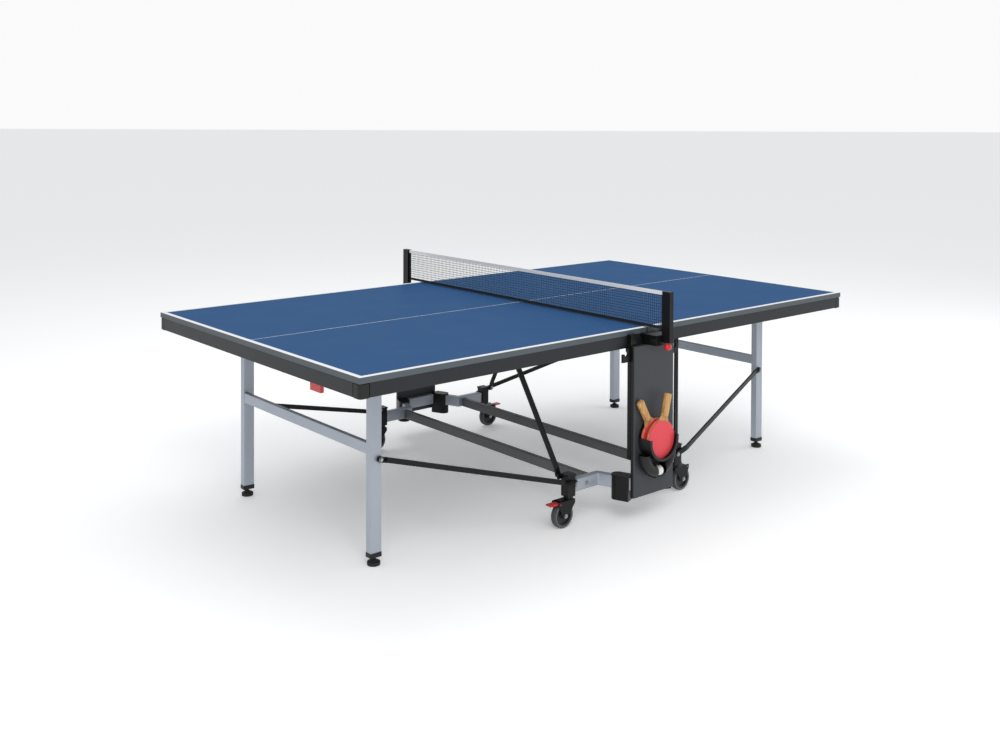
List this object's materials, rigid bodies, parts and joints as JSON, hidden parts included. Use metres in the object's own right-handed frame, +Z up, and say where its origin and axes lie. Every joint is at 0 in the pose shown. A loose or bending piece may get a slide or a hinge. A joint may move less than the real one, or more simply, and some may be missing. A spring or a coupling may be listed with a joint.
{
  "type": "ping pong table",
  "caption": "Folding ping pong table with hinged halves on a wheeled chassis, a net between clamp posts, side panels and a holder for bats and a ball.",
  "frame": {"origin": "on the floor under the middle of the table", "axes": "+X along the table's length, +Y across it away from the bats, +Z up"},
  "size_m": [2.74, 1.778, 0.914],
  "materials": {
    "playing_blue": "matt playing paint with white lines",
    "dark_steel": "satin powder coat",
    "black_steel": "satin powder coat",
    "silver_steel": "silver powder coat",
    "black_plastic": "moulded",
    "panel_grey": "fine moulded grain",
    "red_plastic": "moulded",
    "grey_tyre": "plain tread",
    "rubber_foot": "matt",
    "bat_rubber": "pimpled rubber, smooth side out",
    "bat_wood": "oiled",
    "net_mesh": "woven mesh with a white tape",
    "ball_white": "celluloid"
  },
  "bodies": {
    "chassis": {"near_crosspiece": "silver_steel", "far_crosspiece": "silver_steel", "left_beam": "dark_steel", "right_beam": "dark_steel", "caster_posts": "black_steel", "near_panel": "panel_grey", "far_panel": "panel_grey", "near_guides": "black_steel", "far_guides": "black_steel", "near_net_post": "black_steel", "far_net_post": "black_steel", "near_holder": "black_plastic", "far_holder": "black_plastic", "net": "net_mesh", "ball": "ball_white"},
    "left_slider": {"left_slide_blocks": "black_plastic"},
    "left_half": {"left_top": "playing_blue", "left_rim": "dark_steel", "left_cross_rails": "dark_steel", "left_corner_caps": "black_plastic"},
    "left_strut_pair": {"left_struts": "black_steel"},
    "left_leg_frame": {"left_legs": "silver_steel", "left_leg_bar": "silver_steel"},
    "left_rod_pair": {"left_leg_rods": "black_steel"},
    "left_latch_handle": {"left_latch": "red_plastic"},
    "near_left_foot_body": {"near_left_foot": "rubber_foot"},
    "near_left_fork_body": {"near_left_fork": "black_steel"},
    "near_left_wheel_body": {"near_left_tyre": "grey_tyre", "near_left_wheel": "black_plastic"},
    "near_left_brake_body": {"near_left_brake": "red_plastic"},
    "far_left_foot_body": {"far_left_foot": "rubber_foot"},
    "far_left_fork_body": {"far_left_fork": "black_steel"},
    "far_left_wheel_body": {"far_left_tyre": "grey_tyre", "far_left_wheel": "black_plastic"},
    "right_slider": {"right_slide_blocks": "black_plastic"},
    "right_half": {"right_top": "playing_blue", "right_rim": "dark_steel", "right_cross_rails": "dark_steel", "right_corner_caps": "black_plastic"},
    "right_strut_pair": {"right_struts": "black_steel"},
    "right_leg_frame": {"right_legs": "silver_steel", "right_leg_bar": "silver_steel"},
    "right_rod_pair": {"right_leg_rods": "black_steel"},
    "right_latch_handle": {"right_latch": "red_plastic"},
    "near_right_foot_body": {"near_right_foot": "rubber_foot"},
    "near_right_fork_body": {"near_right_fork": "black_steel"},
    "near_right_wheel_body": {"near_right_tyre": "grey_tyre", "near_right_wheel": "black_plastic"},
    "far_right_foot_body": {"far_right_foot": "rubber_foot"},
    "far_right_fork_body": {"far_right_fork": "black_steel"},
    "far_right_wheel_body": {"far_right_tyre": "grey_tyre", "far_right_wheel": "black_plastic"},
    "far_right_brake_body": {"far_right_brake": "red_plastic"},
    "near_knob_body": {"near_knob": "red_plastic"},
    "far_knob_body": {"far_knob": "red_plastic"},
    "front_bat": {"front_bat_blade": "bat_rubber", "front_bat_handle": "bat_wood"},
    "back_bat": {"back_bat_blade": "bat_rubber", "back_bat_handle": "bat_wood"}
  },
  "joints": [
    {"name": "left_slide", "type": "slide", "parent": "chassis", "child": "left_slider", "axis": [0, 0, -1], "range_m": [0, 0.45]},
    {"name": "left_fold", "type": "hinge", "parent": "left_slider", "child": "left_half", "pos_m": [-0.1, 0, 0.73], "axis": [0, 1, 0], "range_deg": [0, 90]},
    {"name": "left_strut_swing", "type": "hinge", "parent": "left_half", "child": "left_strut_pair", "pos_m": [-0.494, 0, 0.706], "axis": [0, 1, 0], "range_deg": [-50, 0]},
    {"name": "left_leg_fold", "type": "hinge", "parent": "left_half", "child": "left_leg_frame", "pos_m": [-1.115, 0, 0.7], "axis": [0, 1, 0], "range_deg": [-91, 0]},
    {"name": "left_rod_swing", "type": "hinge", "parent": "chassis", "child": "left_rod_pair", "pos_m": [-0.3, 0, 0.168], "axis": [0, 1, 0], "range_deg": [0, 89]},
    {"name": "left_latch_pull", "type": "hinge", "parent": "left_half", "child": "left_latch_handle", "pos_m": [-1.338, 0, 0.696], "axis": [0, 1, 0], "range_deg": [-25, 0]},
    {"name": "near_left_foot_turn", "type": "hinge", "parent": "left_leg_frame", "child": "near_left_foot_body", "pos_m": [-1.115, -0.47, 0.04], "axis": [0, 0, 1], "continuous": true},
    {"name": "near_left_swivel", "type": "hinge", "parent": "chassis", "child": "near_left_fork_body", "pos_m": [-0.316, -0.64, 0.14], "axis": [0, 0, 1], "continuous": true},
    {"name": "near_left_roll", "type": "hinge", "parent": "near_left_fork_body", "child": "near_left_wheel_body", "pos_m": [-0.349, -0.64, 0.05], "axis": [0, 1, 0], "continuous": true},
    {"name": "near_left_brake_press", "type": "hinge", "parent": "near_left_fork_body", "child": "near_left_brake_body", "pos_m": [-0.376, -0.64, 0.099], "axis": [0, -1, 0], "range_deg": [0, 15]},
    {"name": "far_left_foot_turn", "type": "hinge", "parent": "left_leg_frame", "child": "far_left_foot_body", "pos_m": [-1.115, 0.47, 0.04], "axis": [0, 0, 1], "continuous": true},
    {"name": "far_left_swivel", "type": "hinge", "parent": "chassis", "child": "far_left_fork_body", "pos_m": [-0.316, 0.64, 0.14], "axis": [0, 0, 1], "continuous": true},
    {"name": "far_left_roll", "type": "hinge", "parent": "far_left_fork_body", "child": "far_left_wheel_body", "pos_m": [-0.349, 0.64, 0.05], "axis": [0, 1, 0], "continuous": true},
    {"name": "right_slide", "type": "slide", "parent": "chassis", "child": "right_slider", "axis": [0, 0, -1], "range_m": [0, 0.45]},
    {"name": "right_fold", "type": "hinge", "parent": "right_slider", "child": "right_half", "pos_m": [0.1, 0, 0.73], "axis": [0, -1, 0], "range_deg": [0, 90]},
    {"name": "right_strut_swing", "type": "hinge", "parent": "right_half", "child": "right_strut_pair", "pos_m": [0.494, 0, 0.706], "axis": [0, -1, 0], "range_deg": [-50, 0]},
    {"name": "right_leg_fold", "type": "hinge", "parent": "right_half", "child": "right_leg_frame", "pos_m": [1.115, 0, 0.7], "axis": [0, -1, 0], "range_deg": [-91, 0]},
    {"name": "right_rod_swing", "type": "hinge", "parent": "chassis", "child": "right_rod_pair", "pos_m": [0.3, 0, 0.168], "axis": [0, -1, 0], "range_deg": [0, 89]},
    {"name": "right_latch_pull", "type": "hinge", "parent": "right_half", "child": "right_latch_handle", "pos_m": [1.338, 0, 0.696], "axis": [0, -1, 0], "range_deg": [-25, 0]},
    {"name": "near_right_foot_turn", "type": "hinge", "parent": "right_leg_frame", "child": "near_right_foot_body", "pos_m": [1.115, -0.47, 0.04], "axis": [0, 0, 1], "continuous": true},
    {"name": "near_right_swivel", "type": "hinge", "parent": "chassis", "child": "near_right_fork_body", "pos_m": [0.316, -0.64, 0.14], "axis": [0, 0, 1], "continuous": true},
    {"name": "near_right_roll", "type": "hinge", "parent": "near_right_fork_body", "child": "near_right_wheel_body", "pos_m": [0.349, -0.64, 0.05], "axis": [0, 1, 0], "continuous": true},
    {"name": "far_right_foot_turn", "type": "hinge", "parent": "right_leg_frame", "child": "far_right_foot_body", "pos_m": [1.115, 0.47, 0.04], "axis": [0, 0, 1], "continuous": true},
    {"name": "far_right_swivel", "type": "hinge", "parent": "chassis", "child": "far_right_fork_body", "pos_m": [0.316, 0.64, 0.14], "axis": [0, 0, 1], "continuous": true},
    {"name": "far_right_roll", "type": "hinge", "parent": "far_right_fork_body", "child": "far_right_wheel_body", "pos_m": [0.349, 0.64, 0.05], "axis": [0, 1, 0], "continuous": true},
    {"name": "far_right_brake_press", "type": "hinge", "parent": "far_right_fork_body", "child": "far_right_brake_body", "pos_m": [0.376, 0.64, 0.099], "axis": [0, 1, 0], "range_deg": [0, 15]},
    {"name": "near_knob_turn", "type": "hinge", "parent": "chassis", "child": "near_knob_body", "pos_m": [0, -0.87, 0.72], "axis": [0, 0, 1], "continuous": true},
    {"name": "far_knob_turn", "type": "hinge", "parent": "chassis", "child": "far_knob_body", "pos_m": [0, 0.87, 0.72], "axis": [0, 0, 1], "continuous": true},
    {"name": "front_bat_lift", "type": "slide", "parent": "chassis", "child": "front_bat", "axis": [0, 0, 1], "range_m": [0, 0.12]},
    {"name": "back_bat_lift", "type": "slide", "parent": "chassis", "child": "back_bat", "axis": [0, 0, 1], "range_m": [0, 0.12]}
  ],
  "couplings": [
    {"joint": "left_slide", "follows": "left_fold", "m_per_rad": 0.28333},
    {"joint": "left_strut_swing", "follows": "left_fold", "ratio": -0.54247},
    {"joint": "left_leg_fold", "follows": "left_fold", "ratio": -0.99677},
    {"joint": "left_rod_swing", "follows": "left_fold", "ratio": 0.9743},
    {"joint": "right_slide", "follows": "right_fold", "m_per_rad": 0.28333},
    {"joint": "right_strut_swing", "follows": "right_fold", "ratio": -0.54247},
    {"joint": "right_leg_fold", "follows": "right_fold", "ratio": -0.99677},
    {"joint": "right_rod_swing", "follows": "right_fold", "ratio": 0.9743}
  ]
}
